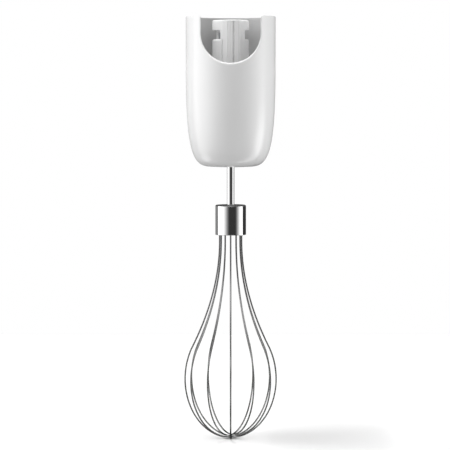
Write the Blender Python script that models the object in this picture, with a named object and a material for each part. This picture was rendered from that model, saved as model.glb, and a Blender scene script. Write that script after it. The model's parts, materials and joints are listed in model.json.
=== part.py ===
"""Whisk attachment of an immersion blender: a white coupling with a planetary reduction inside,
which snaps on to the motor unit, and a balloon whisk that plugs into it.

Units are metres and +Z is up. The origin is on the axis, in the plane of the coupling's rim, where
the motor unit seats. The attachment hangs below it, and the scoop in the rim faces -Y.
"""

import math

import bmesh
import bpy

MM = 0.001

# Clearances between pieces
FIT = 0.2 * MM  # between pieces that are pressed together or rest on each other
RUN = 0.15 * MM  # radial, between pieces that turn or slide in each other
WIRE_FIT = 0.12 * MM  # radial, around a wire in its hole
WELD = 0.001 * MM
CUT = 2.0 * MM  # how far a cutter reaches past the wall that it cuts

# Facets round a turned piece
FINE = 40
MEDIUM = 28
COARSE = 20
TINY = 12

# Outer shell
SHELL_RADIUS = 27.8 * MM
SHELL_HEIGHT = 92.7 * MM
SHELL_WALL = 2.2 * MM
SHELL_STRAIGHT = 34.0 * MM  # from the rim down to where the side starts to curve in
SIDE_PULL = 51.5 * MM  # curve handle down the side
FOOT_RADIUS = 12.4 * MM  # where the curve meets the bottom
FOOT_PULL = 10.6 * MM  # curve handle along the bottom
FOOT_DROP = 0.3 * MM  # the bottom's crown
SHELL_CURVE_STEPS = 8
RIM_CHAMFER = 0.4 * MM
SHAFT_HOLE_RADIUS = 3.0 * MM

# Scoop in the front of the rim
SCOOP_HALF_WIDTH = 18.3 * MM
SCOOP_DEPTH = 29.0 * MM
SCOOP_CORNER = 1.6 * MM
SCOOP_ARC_STEPS = 22
CORNER_STEPS = 4

# Coupling tower, with its latch windows and guide ribs
TOWER_RADIUS = 11.3 * MM
TOWER_WALL = 2.5 * MM
TOWER_DROP = 2.25 * MM  # rim to the tower's top
TOWER_TURN = math.radians(8.25)  # the tower's features are turned this far round the axis
TOWER_EDGE = 0.5 * MM
WINDOW_TOP = 8.4 * MM  # below the rim
WINDOW_HEIGHT = 5.8 * MM
WINDOW_SPAN = math.radians(95.0)
RIB_HEIGHT = 0.8 * MM
RIB_SPANS = [  # either side of the groove between a pair of ribs
    (math.radians(-33.0), math.radians(-2.6)),
    (math.radians(2.6), math.radians(23.5)),
]
FLANGE_DROP = 43.0 * MM  # rim to the tower flange's top
FLANGE_THICKNESS = 3.0 * MM
WEB_THICKNESS = 5.0 * MM  # the floor of the tower's bore stands this far above the flange
LIP = 0.6 * MM  # shoulder that keeps a bush from passing through

# Screws that hold the tower and the gear case to the shell
SCREW_COUNT = 3
SCREW_INSET = 3.0 * MM  # from the shell's bore to a screw's axis
SCREW_RADIUS = 1.45 * MM
SCREW_LENGTH = 12.0 * MM
SCREW_HEAD_RADIUS = 2.6 * MM
SCREW_HEAD_HEIGHT = 1.8 * MM
SCREW_RECESS = 1.0 * MM
SCREW_RECESS_ARM = 1.6 * MM
SCREW_RECESS_HALF_WIDTH = 0.4 * MM
SCREW_TIP = 0.8 * MM
POST_RADIUS = 3.4 * MM
POST_HEIGHT = 20.0 * MM
FIRST_SCREW = math.radians(90.0)

# Planetary gears
MODULE = 0.5 * MM
SUN_TEETH = 12
PLANET_TEETH = 18
RING_TEETH = SUN_TEETH + 2 * PLANET_TEETH
PRESSURE_ANGLE = math.radians(20.0)
ADDENDUM = 0.85  # in modules
DEDENDUM = 1.2  # in modules
TOOTH_THINNING = 0.09 * MM  # taken off each tooth at the pitch circle, for backlash
FACE_WIDTH = 7.0 * MM
PLANET_COUNT = 3
RING_RIM = 1.9 * MM  # from the ring gear's root to its outside
RING_SKIRT = 0.6 * MM  # how far the ring gear reaches past its gears, at each end
LUG_HEIGHT = 1.0 * MM
LUG_HALF_ANGLE = math.radians(5.0)

# Gear case
CASE_WALL = 1.8 * MM
CASE_FLOOR = 2.0 * MM
BOSS_WALL = 2.0 * MM
GASKET_RADIUS = 0.55 * MM
GASKET_GROOVE = 1.4 * MM
GASKET_LAND = 0.5 * MM  # wall between the lugs' slots and the gasket's groove

# Carrier, its pins and the socket for the whisk's shaft
CARRIER_THICKNESS = 3.0 * MM
CAP_THICKNESS = 1.4 * MM
PIN_RADIUS = 1.25 * MM
PIN_DEPTH = 2.1 * MM  # in the carrier
PILLAR_RADIUS = 1.7 * MM
GEAR_GAP = 0.4 * MM  # axial play above and below the gears
WASHER_THICKNESS = 0.6 * MM
WASHER_WIDTH = 3.4 * MM
HUB_RADIUS = 5.0 * MM
BUSH_WALL = 1.8 * MM
OUTPUT_BUSH_LENGTH = 15.5 * MM
CLIP_THICKNESS = 0.7 * MM
CLIP_GROOVE = 0.5 * MM
CLIP_WIDTH = 1.9 * MM
CLIP_GAP = math.radians(50.0)
HUB_END = 1.2 * MM  # below the clip

# Input drive
INPUT_RADIUS = 2.5 * MM
COUPLING_RADIUS = 7.4 * MM
COUPLING_LENGTH = 18.0 * MM
COUPLING_DROP = 7.55 * MM  # tower top to the drive coupling's top
SOCKET_DEPTH = 12.0 * MM
SOCKET_RADIUS = 4.6 * MM
SOCKET_LOBES = 6
SOCKET_WAVE = 0.7 * MM
SOCKET_STEPS = 48

# Whisk shaft
SHAFT_RADIUS = 2.3 * MM
HEX_RADIUS = 2.22 * MM
HEX_CLEARANCE = 0.18 * MM
HEX_LENGTH = 11.0 * MM
SOCKET_END_GAP = 0.5 * MM
RETAINER_WIDTH = 0.9 * MM
RETAINER_GROOVE = 0.35 * MM
RETAINER_PROUD = 0.04 * MM
SEAL_LIP_CLEARANCE = 0.1 * MM
SEAL_WALL = 3.0 * MM
SEAL_HEIGHT = 3.2 * MM
SEAL_POCKET_WALL = 1.8 * MM
SHAFT_EXPOSED = 23.8 * MM  # between the shell's bottom and the ferrule

# Ferrule and wire holder
FERRULE_RADIUS = 9.55 * MM
FERRULE_HEIGHT = 18.6 * MM
FERRULE_WALL = 0.5 * MM
FERRULE_EDGE = 0.8 * MM
FERRULE_LIP = 0.25 * MM
HOLDER_RECESS = 0.5 * MM
HOLDER_HEIGHT = 14.0 * MM
SHAFT_IN_HOLDER = 11.0 * MM

# Wire loops
LOOP_COUNT = 6
WIRE_DIAMETER = 1.0 * MM
WIRE_SIDES = 6
NECK_RADIUS = 6.8 * MM  # of the circle on which the wires leave the ferrule
NECK_STRAIGHT = 4.0 * MM  # below the ferrule, before the wires flare out
WIRE_IN_HOLDER = 11.0 * MM
BELLY_RADIUS = 28.4 * MM
BELLY_DROP = 90.4 * MM  # ferrule's bottom to the widest place
BELLY_RISE = 37.5 * MM  # half height of the belly's upper curve
BELLY_DEPTH = 37.0 * MM  # widest place down to the lowest wire's centreline
BELLY_JOIN = math.radians(33.4)  # where the neck's curve runs into the belly's
CROSSING_THICKNESS = 0.45 * MM  # the wires are pressed flat where they cross at the tip
CROSSING_WIDTH = 1.6 * MM
CROSSING_PITCH = 0.5 * MM
CROSSING_FLAT = 3.3 * MM  # from the axis, how far a wire stays flat
CROSSING_BLEND = 3.0 * MM  # and how far it takes to become round again
NECK_STEPS = 6
BELLY_STEPS = 4
FOOT_STEPS = 10
# Loops from the lowest at the tip to the highest, by the direction that each lies in
LOOP_ANGLES = [math.radians(a) for a in (90, 0, 30, 150, 60, 120)]

# Heights that follow from the sizes above, all measured from the rim
TOWER_TOP = -TOWER_DROP
FLANGE_TOP = -FLANGE_DROP
FLANGE_BOTTOM = FLANGE_TOP - FLANGE_THICKNESS
WEB_TOP = FLANGE_TOP + WEB_THICKNESS
CASE_TOP = FLANGE_BOTTOM - FIT
CASE_FLANGE_BOTTOM = CASE_TOP - FLANGE_THICKNESS
CAP_TOP = CASE_TOP - 2.4 * MM
CAP_BOTTOM = CAP_TOP - CAP_THICKNESS
GEAR_TOP = CAP_BOTTOM - GEAR_GAP
GEAR_BOTTOM = GEAR_TOP - FACE_WIDTH
RING_TOP = GEAR_TOP + RING_SKIRT
RING_BOTTOM = GEAR_BOTTOM - RING_SKIRT
CARRIER_TOP = GEAR_BOTTOM - GEAR_GAP
CARRIER_BOTTOM = CARRIER_TOP - CARRIER_THICKNESS
PIN_BOTTOM = CARRIER_TOP - PIN_DEPTH
CASE_FLOOR_TOP = CARRIER_BOTTOM - WASHER_THICKNESS - 2 * FIT
CASE_FLOOR_BOTTOM = CASE_FLOOR_TOP - CASE_FLOOR
OUTPUT_BUSH_TOP = CASE_FLOOR_BOTTOM - FIT
OUTPUT_BUSH_BOTTOM = OUTPUT_BUSH_TOP - OUTPUT_BUSH_LENGTH
OUTPUT_CLIP_TOP = OUTPUT_BUSH_BOTTOM - FIT
HUB_BOTTOM = OUTPUT_CLIP_TOP - CLIP_THICKNESS - HUB_END
SOCKET_TOP = CARRIER_BOTTOM - LIP
SHAFT_TOP = SOCKET_TOP - SOCKET_END_GAP
HEX_BOTTOM = SHAFT_TOP - HEX_LENGTH
RETAINER_TOP = HEX_BOTTOM - 3.0 * MM
SHELL_BOTTOM = -SHELL_HEIGHT
SEAL_BOTTOM = SHELL_BOTTOM + 1.2 * MM
SEAL_TOP = SEAL_BOTTOM + SEAL_HEIGHT
FERRULE_TOP = SHELL_BOTTOM - SHAFT_EXPOSED
FERRULE_BOTTOM = FERRULE_TOP - FERRULE_HEIGHT
HOLDER_BOTTOM = FERRULE_BOTTOM + HOLDER_RECESS
SHAFT_BOTTOM = HOLDER_BOTTOM + HOLDER_HEIGHT - SHAFT_IN_HOLDER
WIRE_TOP = HOLDER_BOTTOM + WIRE_IN_HOLDER
BELLY_HEIGHT = FERRULE_BOTTOM - BELLY_DROP
INPUT_CLIP_BOTTOM = WEB_TOP + FIT
COUPLING_TOP = TOWER_TOP - COUPLING_DROP
COUPLING_BOTTOM = COUPLING_TOP - COUPLING_LENGTH
SOCKET_BOTTOM = COUPLING_TOP - SOCKET_DEPTH
INPUT_TOP = SOCKET_BOTTOM - FIT

# Radii that follow
SHELL_BORE = SHELL_RADIUS - SHELL_WALL
SCREW_CIRCLE = SHELL_BORE - SCREW_INSET
FLANGE_RADIUS = SHELL_BORE - 3 * FIT
TOWER_BORE = TOWER_RADIUS - TOWER_WALL
SUN_PITCH = MODULE * SUN_TEETH / 2
PLANET_PITCH = MODULE * PLANET_TEETH / 2
RING_PITCH = MODULE * RING_TEETH / 2
PLANET_CIRCLE = SUN_PITCH + PLANET_PITCH
RING_ROOT = RING_PITCH + DEDENDUM * MODULE
RING_RADIUS = RING_ROOT + RING_RIM
RING_TIP = RING_PITCH - ADDENDUM * MODULE
CASE_BORE = RING_RADIUS + FIT
CASE_RADIUS = CASE_BORE + CASE_WALL
CARRIER_RADIUS = RING_TIP - 0.5 * MM
PILLAR_CIRCLE = CARRIER_RADIUS - PILLAR_RADIUS - 0.3 * MM
OUTPUT_BUSH_BORE = HUB_RADIUS + RUN
OUTPUT_BUSH_RADIUS = OUTPUT_BUSH_BORE + BUSH_WALL
BOSS_BORE = OUTPUT_BUSH_RADIUS + FIT
INPUT_BUSH_BORE = INPUT_RADIUS + RUN
INPUT_BUSH_RADIUS = INPUT_BUSH_BORE + BUSH_WALL
SHAFT_BORE = SHAFT_RADIUS + RUN
SEAL_RADIUS = SHAFT_RADIUS + SEAL_WALL
HOLDER_RADIUS = FERRULE_RADIUS - FERRULE_WALL - FIT


def material(name, colour, roughness, metallic=0.0):
    made = bpy.data.materials.new(name)
    made.use_nodes = True
    shader = made.node_tree.nodes["Principled BSDF"]
    shader.inputs["Base Color"].default_value = (*colour, 1.0)
    shader.inputs["Roughness"].default_value = roughness
    shader.inputs["Metallic"].default_value = metallic
    made.diffuse_color = (*colour, 1.0)
    return made


def finish_mesh(name, bm, surface, parent, flat=False):
    """Turns a bmesh into a named object, with its faces out and its round sides smooth."""
    bmesh.ops.remove_doubles(bm, verts=bm.verts, dist=WELD)
    bmesh.ops.recalc_face_normals(bm, faces=bm.faces)
    mesh = bpy.data.meshes.new(name)
    bm.to_mesh(mesh)
    bm.free()
    if not flat:
        mesh.shade_smooth()
        mesh.set_sharp_from_angle(angle=math.radians(35))
    if surface:
        mesh.materials.append(surface)
    obj = bpy.data.objects.new(name, mesh)
    bpy.context.scene.collection.objects.link(obj)
    obj.parent = parent
    return obj


def turned(name, profile, surface=None, parent=None, steps=MEDIUM, on_axis=False):
    """A turned solid about Z. The profile is (radius, height) points all round the section; with
    on_axis it starts and ends on the axis, and stays open there."""
    bm = bmesh.new()
    verts = [bm.verts.new((radius, 0, height)) for radius, height in profile]
    edges = [bm.edges.new(pair) for pair in zip(verts, verts[1:])]
    if not on_axis:
        edges.append(bm.edges.new((verts[-1], verts[0])))
    bmesh.ops.spin(
        bm,
        geom=verts + edges,
        cent=(0, 0, 0),
        axis=(0, 0, 1),
        angle=math.tau,
        steps=steps,
        use_merge=True,
    )
    return finish_mesh(name, bm, surface, parent)


def ring(name, inner, outer, bottom, top, surface=None, parent=None, steps=MEDIUM):
    """A plain turned ring, such as a bush or a washer."""
    profile = [(inner, bottom), (outer, bottom), (outer, top), (inner, top)]
    return turned(name, profile, surface, parent, steps)


def rod(name, radius, bottom, top, surface=None, parent=None, steps=COARSE):
    profile = [(0, bottom), (radius, bottom), (radius, top), (0, top)]
    return turned(name, profile, surface, parent, steps, on_axis=True)


def plate(name, outlines, bottom, top, surface=None, parent=None):
    """A flat solid between two heights. The first outline is its edge and the others its holes."""
    bm = bmesh.new()
    edges = []
    for outline in outlines:
        verts = [bm.verts.new((x, y, bottom)) for x, y in outline]
        edges += [bm.edges.new((verts[i - 1], vert)) for i, vert in enumerate(verts)]
    bmesh.ops.triangle_fill(bm, use_beauty=True, edges=edges)
    lower = list(bm.faces)
    raised = bmesh.ops.extrude_face_region(bm, geom=lower, use_keep_orig=True)["geom"]
    corners = [item for item in raised if isinstance(item, bmesh.types.BMVert)]
    bmesh.ops.translate(bm, verts=corners, vec=(0, 0, top - bottom))
    return finish_mesh(name, bm, surface, parent)


def boolean(obj, other, operation="DIFFERENCE"):
    """Cuts the other object from this one, or joins it on. The other is then only a guide."""
    modifier = obj.modifiers.new(other.name, "BOOLEAN")
    modifier.operation = operation
    modifier.object = other
    other.hide_render = True
    other.display_type = "WIRE"
    other.parent = obj.parent


def axis_empty(name, parent=None, location=(0, 0, 0)):
    empty = bpy.data.objects.new(name, None)
    bpy.context.scene.collection.objects.link(empty)
    empty.parent = parent
    empty.location = location
    return empty


def polar(radius, angle):
    return radius * math.cos(angle), radius * math.sin(angle)


def circle(radius, steps, centre=(0.0, 0.0)):
    points = [polar(radius, math.tau * i / steps) for i in range(steps)]
    return [(x + centre[0], y + centre[1]) for x, y in points]


def arc(radius, start, end, steps, centre=(0.0, 0.0)):
    angles = [start + (end - start) * i / steps for i in range(steps + 1)]
    return [(centre[0] + x, centre[1] + y) for x, y in (polar(radius, a) for a in angles)]


def sector(inner, outer, start, end, steps):
    """The outline of a piece of a ring."""
    return arc(outer, start, end, steps) + arc(inner, end, start, steps)


def bezier(points, steps):
    """Points along a Bezier curve with two to four control points."""
    order = len(points) - 1
    found = []
    for i in range(steps + 1):
        t = i / steps
        weights = [math.comb(order, k) * t**k * (1 - t) ** (order - k) for k in range(order + 1)]
        found.append(tuple(sum(w * p[axis] for w, p in zip(weights, points)) for axis in (0, 1)))
    return found


def inset(points, distance):
    """The curve that runs a distance inside another one, which goes down and then inwards."""
    found = []
    for i, (radius, height) in enumerate(points):
        before, after = points[max(i - 1, 0)], points[min(i + 1, len(points) - 1)]
        run, rise = after[0] - before[0], after[1] - before[1]
        length = math.hypot(run, rise)
        found.append((radius + rise / length * distance, height - run / length * distance))
    return found


def involute(angle):
    return math.tan(angle) - angle


def gear_outline(teeth, tip, root):
    """The outline of a gear with a tooth centred on +X, between its tip and root radii. A ring
    gear's space has the same outline, with its own tip and root."""
    pitch = MODULE * teeth / 2
    base = pitch * math.cos(PRESSURE_ANGLE)
    half = math.pi / (2 * teeth) - TOOTH_THINNING / (2 * pitch) * (1 if tip > root else -1)
    outer, inner = max(tip, root), min(tip, root)
    start = max(base, inner)
    radii = [inner, start + 0.4 * (outer - start), outer]

    def half_angle(radius):
        pressure = math.acos(min(1.0, base / radius))
        return half + involute(PRESSURE_ANGLE) - involute(pressure)

    points = []
    for tooth in range(teeth):
        middle = math.tau * tooth / teeth
        points += [polar(r, middle - half_angle(r)) for r in radii]
        points += [polar(r, middle + half_angle(r)) for r in reversed(radii)]
    return points


def lugged_circle(radius, lug_radius, half_angle, steps_between):
    """A circle with a square lug in the middle of each third, between the planets."""
    points = []
    for k in range(PLANET_COUNT):
        lug = math.tau * (k + 0.5) / PLANET_COUNT
        following = lug + math.tau / PLANET_COUNT
        points += arc(lug_radius, lug - half_angle, lug + half_angle, 2)
        points += arc(radius, lug + half_angle, following - half_angle, steps_between)
    return points


def make_materials():
    return {
        "white_gloss": material("white_gloss", (0.86, 0.86, 0.87), 0.25),
        "white_satin": material("white_satin", (0.82, 0.82, 0.83), 0.4),
        "grey_nylon": material("grey_nylon", (0.45, 0.46, 0.48), 0.45),
        "natural_acetal": material("natural_acetal", (0.78, 0.76, 0.7), 0.4),
        "black_rubber": material("black_rubber", (0.03, 0.03, 0.03), 0.7),
        "bronze": material("bronze", (0.6, 0.42, 0.22), 0.4, 1.0),
        "steel": material("steel", (0.6, 0.6, 0.62), 0.3, 1.0),
        "chrome": material("chrome", (0.75, 0.75, 0.76), 0.08, 1.0),
        "wire_steel": material("wire_steel", (0.36, 0.36, 0.37), 0.16, 1.0),
    }


def shell_side():
    """The shell's outer curve, from the straight side down and round to the flat bottom."""
    return bezier(
        [
            (SHELL_RADIUS, -SHELL_STRAIGHT),
            (SHELL_RADIUS, -SHELL_STRAIGHT - SIDE_PULL),
            (FOOT_RADIUS + FOOT_PULL, SHELL_BOTTOM),
            (FOOT_RADIUS, SHELL_BOTTOM),
        ],
        SHELL_CURVE_STEPS,
    )


def scoop_outline():
    """The U-shaped opening, seen from the front as (across, up)."""
    width, corner = SCOOP_HALF_WIDTH, SCOOP_CORNER
    right = arc(corner, math.pi / 2, math.pi, CORNER_STEPS, (width + corner, -corner))
    bowl = arc(width, 0, -math.pi, SCOOP_ARC_STEPS, (0, width - SCOOP_DEPTH))
    left = [(-x, z) for x, z in reversed(right)]
    above = [(-width - corner, CUT), (width + corner, CUT)]
    return right + bowl + left + above


def make_shell(parent, surface):
    outside = shell_side()
    inside = inset(outside, SHELL_WALL)
    pocket = SEAL_RADIUS + FIT
    boss = pocket + SEAL_POCKET_WALL
    profile = [(SHELL_RADIUS - RIM_CHAMFER, 0), (SHELL_RADIUS, -RIM_CHAMFER)]
    profile += outside
    profile += [
        (SHAFT_HOLE_RADIUS, SHELL_BOTTOM - FOOT_DROP),
        (SHAFT_HOLE_RADIUS, SEAL_BOTTOM - FIT),
        (pocket, SEAL_BOTTOM - FIT),
        (pocket, SEAL_TOP + FIT),
        (boss, SEAL_TOP + FIT),
        (boss, SHELL_BOTTOM + SHELL_WALL),
    ]
    profile += list(reversed(inside))
    profile += [(SHELL_BORE, -RIM_CHAMFER), (SHELL_BORE + RIM_CHAMFER, 0)]
    shell = turned("outer_shell", profile, surface, parent, FINE)
    cutter = plate("scoop_cutter", [scoop_outline()], 0, SHELL_RADIUS + CUT)
    cutter.rotation_euler.x = math.radians(90)
    boolean(shell, cutter)
    post_top = CASE_FLANGE_BOTTOM - FIT
    hole_bottom = post_top - (SCREW_LENGTH - 2 * FLANGE_THICKNESS)
    section = [
        (0, post_top - POST_HEIGHT),
        (POST_RADIUS, post_top - POST_HEIGHT),
        (POST_RADIUS, post_top),
        (SCREW_RADIUS + FIT, post_top),
        (SCREW_RADIUS + FIT, hole_bottom),
        (0, hole_bottom),
    ]
    for k, angle in enumerate(screw_angles()):
        post = turned(f"post_{k}", section, steps=COARSE, on_axis=True)
        post.location = (*polar(SCREW_CIRCLE, angle), 0)
        boolean(shell, post, "UNION")


def screw_angles():
    return [FIRST_SCREW + math.tau * k / SCREW_COUNT for k in range(SCREW_COUNT)]


def screw_holes(obj, bottom, top):
    for k, angle in enumerate(screw_angles()):
        hole = rod(f"{obj.name}_hole_{k}", SCREW_RADIUS + FIT, bottom - CUT, top + CUT)
        hole.location = (*polar(SCREW_CIRCLE, angle), 0)
        hole.rotation_euler.z = angle + math.pi / COARSE  # a facet faces the axis, not a corner
        boolean(obj, hole)


def make_tower(parent, surface):
    """The tube that the motor unit plugs on to, with the flange that closes the gear case."""
    bush_seat = INPUT_BUSH_RADIUS + FIT
    profile = [
        (TOWER_BORE, TOWER_TOP),
        (TOWER_RADIUS - TOWER_EDGE, TOWER_TOP),
        (TOWER_RADIUS, TOWER_TOP - TOWER_EDGE),
        (TOWER_RADIUS, FLANGE_TOP),
        (FLANGE_RADIUS, FLANGE_TOP),
        (FLANGE_RADIUS, FLANGE_BOTTOM),
        (bush_seat, FLANGE_BOTTOM),
        (bush_seat, WEB_TOP - LIP),
        (INPUT_BUSH_BORE + LIP, WEB_TOP - LIP),
        (INPUT_BUSH_BORE + LIP, WEB_TOP),
        (TOWER_BORE, WEB_TOP),
    ]
    tower = turned("coupling_tower", profile, surface, parent, FINE)
    front = -math.pi / 2 + TOWER_TURN
    for side in range(2):
        facing = front + side * math.pi
        for k, (start, end) in enumerate(RIB_SPANS):
            inner, outer = TOWER_RADIUS - TOWER_EDGE, TOWER_RADIUS + RIB_HEIGHT
            outline = sector(inner, outer, facing + start, facing + end, 6)
            bottom, top = FLANGE_TOP - RIB_HEIGHT, TOWER_TOP - TOWER_EDGE
            boolean(tower, plate(f"rib_{side}_{k}", [outline], bottom, top), "UNION")
    for side in range(2):
        middle = TOWER_TURN + side * math.pi
        half = WINDOW_SPAN / 2
        outline = sector(TOWER_BORE - CUT, TOWER_RADIUS + CUT, middle - half, middle + half, 14)
        window = plate(f"window_{side}", [outline], -WINDOW_TOP - WINDOW_HEIGHT, -WINDOW_TOP)
        boolean(tower, window)
    screw_holes(tower, FLANGE_BOTTOM, FLANGE_TOP)


def make_gear_case(parent, surface):
    groove = CASE_BORE + GASKET_LAND + LUG_HEIGHT
    profile = [
        (CASE_BORE, CASE_TOP),
        (groove, CASE_TOP),
        (groove, CASE_TOP - GASKET_GROOVE),
        (groove + GASKET_GROOVE, CASE_TOP - GASKET_GROOVE),
        (groove + GASKET_GROOVE, CASE_TOP),
        (FLANGE_RADIUS, CASE_TOP),
        (FLANGE_RADIUS, CASE_FLANGE_BOTTOM),
        (CASE_RADIUS, CASE_FLANGE_BOTTOM),
        (CASE_RADIUS, CASE_FLOOR_BOTTOM),
        (BOSS_BORE + BOSS_WALL, CASE_FLOOR_BOTTOM),
        (BOSS_BORE + BOSS_WALL, OUTPUT_BUSH_BOTTOM + FIT),
        (BOSS_BORE, OUTPUT_BUSH_BOTTOM + FIT),
        (BOSS_BORE, CASE_FLOOR_BOTTOM),
        (OUTPUT_BUSH_BORE + LIP, CASE_FLOOR_BOTTOM),
        (OUTPUT_BUSH_BORE + LIP, CASE_FLOOR_TOP),
        (CASE_BORE, CASE_FLOOR_TOP),
    ]
    case = turned("gear_case", profile, surface, parent, FINE)
    slot_half_angle = LUG_HALF_ANGLE + FIT / RING_RADIUS
    slots = lugged_circle(CASE_BORE - FIT, CASE_BORE + LUG_HEIGHT, slot_half_angle, 12)
    boolean(case, plate("lug_slots", [slots], RING_BOTTOM - FIT, CASE_TOP + CUT))
    screw_holes(case, CASE_FLANGE_BOTTOM, CASE_TOP)


def make_gasket(parent, surface):
    centre = CASE_BORE + GASKET_LAND + LUG_HEIGHT + GASKET_GROOVE / 2
    height = CASE_TOP - GASKET_GROOVE + GASKET_RADIUS + FIT / 2
    turned("case_gasket", circle(GASKET_RADIUS, 8, (centre, height)), surface, parent, MEDIUM)


def make_ring_gear(parent, surface):
    teeth = gear_outline(RING_TEETH, RING_TIP, RING_ROOT)
    half_pitch = math.pi / RING_TEETH
    inside = [polar(math.hypot(x, y), math.atan2(y, x) + half_pitch) for x, y in teeth]
    outside = lugged_circle(RING_RADIUS, RING_RADIUS + LUG_HEIGHT, LUG_HALF_ANGLE, 12)
    plate("ring_gear", [outside, inside], RING_BOTTOM, RING_TOP, surface, parent)


def make_screw(name, parent, surface, angle):
    seat = FLANGE_TOP + FIT
    profile = [
        (0, seat - SCREW_LENGTH),
        (SCREW_RADIUS - SCREW_TIP, seat - SCREW_LENGTH),
        (SCREW_RADIUS, seat - SCREW_LENGTH + SCREW_TIP),
        (SCREW_RADIUS, seat),
        (SCREW_HEAD_RADIUS, seat),
        (SCREW_HEAD_RADIUS, seat + SCREW_HEAD_HEIGHT * 0.6),
        (SCREW_HEAD_RADIUS * 0.75, seat + SCREW_HEAD_HEIGHT),
        (0, seat + SCREW_HEAD_HEIGHT),
    ]
    screw = turned(name, profile, surface, parent, 16, on_axis=True)
    arm, half = SCREW_RECESS_ARM, SCREW_RECESS_HALF_WIDTH
    quarter = [(arm, -half), (arm, half), (half, half)]
    cross = []
    for k in range(4):
        turn = k * math.pi / 2
        c, s = round(math.cos(turn)), round(math.sin(turn))
        cross += [(x * c - y * s, x * s + y * c) for x, y in quarter]
    top = seat + SCREW_HEAD_HEIGHT
    recess = plate(f"{name}_recess", [cross], top - SCREW_RECESS, top + CUT)
    boolean(screw, recess)
    for obj in (screw, recess):
        obj.location = (*polar(SCREW_CIRCLE, angle), 0)


def make_static_pieces(frame, look):
    """Everything that stays still in the coupling."""
    make_shell(frame, look["white_gloss"])
    make_tower(frame, look["white_satin"])
    make_gear_case(frame, look["grey_nylon"])
    make_gasket(frame, look["black_rubber"])
    make_ring_gear(frame, look["natural_acetal"])
    for k, angle in enumerate(screw_angles()):
        make_screw(f"case_screw_{k + 1}", frame, look["steel"], angle)
    ring(
        "input_bush",
        INPUT_BUSH_BORE,
        INPUT_BUSH_RADIUS,
        FLANGE_BOTTOM + FIT,
        WEB_TOP - LIP - FIT,
        look["bronze"],
        frame,
    )
    ring(
        "output_bush",
        OUTPUT_BUSH_BORE,
        OUTPUT_BUSH_RADIUS,
        OUTPUT_BUSH_BOTTOM,
        OUTPUT_BUSH_TOP,
        look["bronze"],
        frame,
    )
    lip = SHAFT_RADIUS + SEAL_LIP_CLEARANCE
    seal = [
        (lip, SEAL_BOTTOM + SEAL_HEIGHT * 0.25),
        (lip + SEAL_WALL * 0.2, SEAL_BOTTOM),
        (SEAL_RADIUS, SEAL_BOTTOM),
        (SEAL_RADIUS, SEAL_TOP),
        (lip + SEAL_WALL * 0.5, SEAL_TOP),
        (lip, SEAL_BOTTOM + SEAL_HEIGHT * 0.45),
    ]
    turned("shaft_seal", seal, look["black_rubber"], frame)


def clip(name, shaft_radius, bottom, surface, parent):
    """A C-shaped retaining clip that sits in a groove of a shaft."""
    inner = shaft_radius - CLIP_GROOVE + FIT / 2
    outline = sector(inner, inner + CLIP_WIDTH, CLIP_GAP / 2, math.tau - CLIP_GAP / 2, 24)
    plate(name, [outline], bottom, bottom + CLIP_THICKNESS, surface, parent)


def grooved(radius, groove_bottom, groove_top, depth):
    """Profile points up the side of a shaft through a groove."""
    return [
        (radius, groove_bottom),
        (radius - depth, groove_bottom),
        (radius - depth, groove_top),
        (radius, groove_top),
    ]


def make_input_drive(axis, look):
    """The drive coupling, and the sun pinion with its shaft."""
    root = SUN_PITCH - DEDENDUM * MODULE
    tip = SUN_PITCH + ADDENDUM * MODULE
    profile = [(0, GEAR_TOP - LIP), (INPUT_RADIUS, GEAR_TOP - LIP)]
    groove_bottom = INPUT_CLIP_BOTTOM - FIT / 2
    profile += grooved(INPUT_RADIUS, groove_bottom, groove_bottom + CLIP_THICKNESS + FIT, CLIP_GROOVE)
    profile += [(INPUT_RADIUS, INPUT_TOP), (0, INPUT_TOP)]
    shaft = turned("sun_pinion", profile, look["steel"], axis, COARSE, on_axis=True)
    teeth = plate("sun_teeth", [gear_outline(SUN_TEETH, tip, root)], GEAR_BOTTOM, GEAR_TOP)
    boolean(shaft, teeth, "UNION")
    clip("input_clip", INPUT_RADIUS, INPUT_CLIP_BOTTOM, look["steel"], axis)

    bore = INPUT_RADIUS + FIT
    profile = [
        (bore, COUPLING_BOTTOM),
        (COUPLING_RADIUS * 0.8, COUPLING_BOTTOM),
        (COUPLING_RADIUS, SOCKET_BOTTOM),
        (COUPLING_RADIUS, COUPLING_TOP - RIM_CHAMFER),
        (COUPLING_RADIUS - RIM_CHAMFER, COUPLING_TOP),
        (bore, COUPLING_TOP),
    ]
    coupling = turned("drive_coupling", profile, look["grey_nylon"], axis)
    star = []
    for i in range(SOCKET_STEPS):
        angle = math.tau * i / SOCKET_STEPS
        star.append(polar(SOCKET_RADIUS + SOCKET_WAVE * math.cos(SOCKET_LOBES * angle), angle))
    boolean(coupling, plate("socket_cutter", [star], SOCKET_BOTTOM, COUPLING_TOP + CUT))


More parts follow.
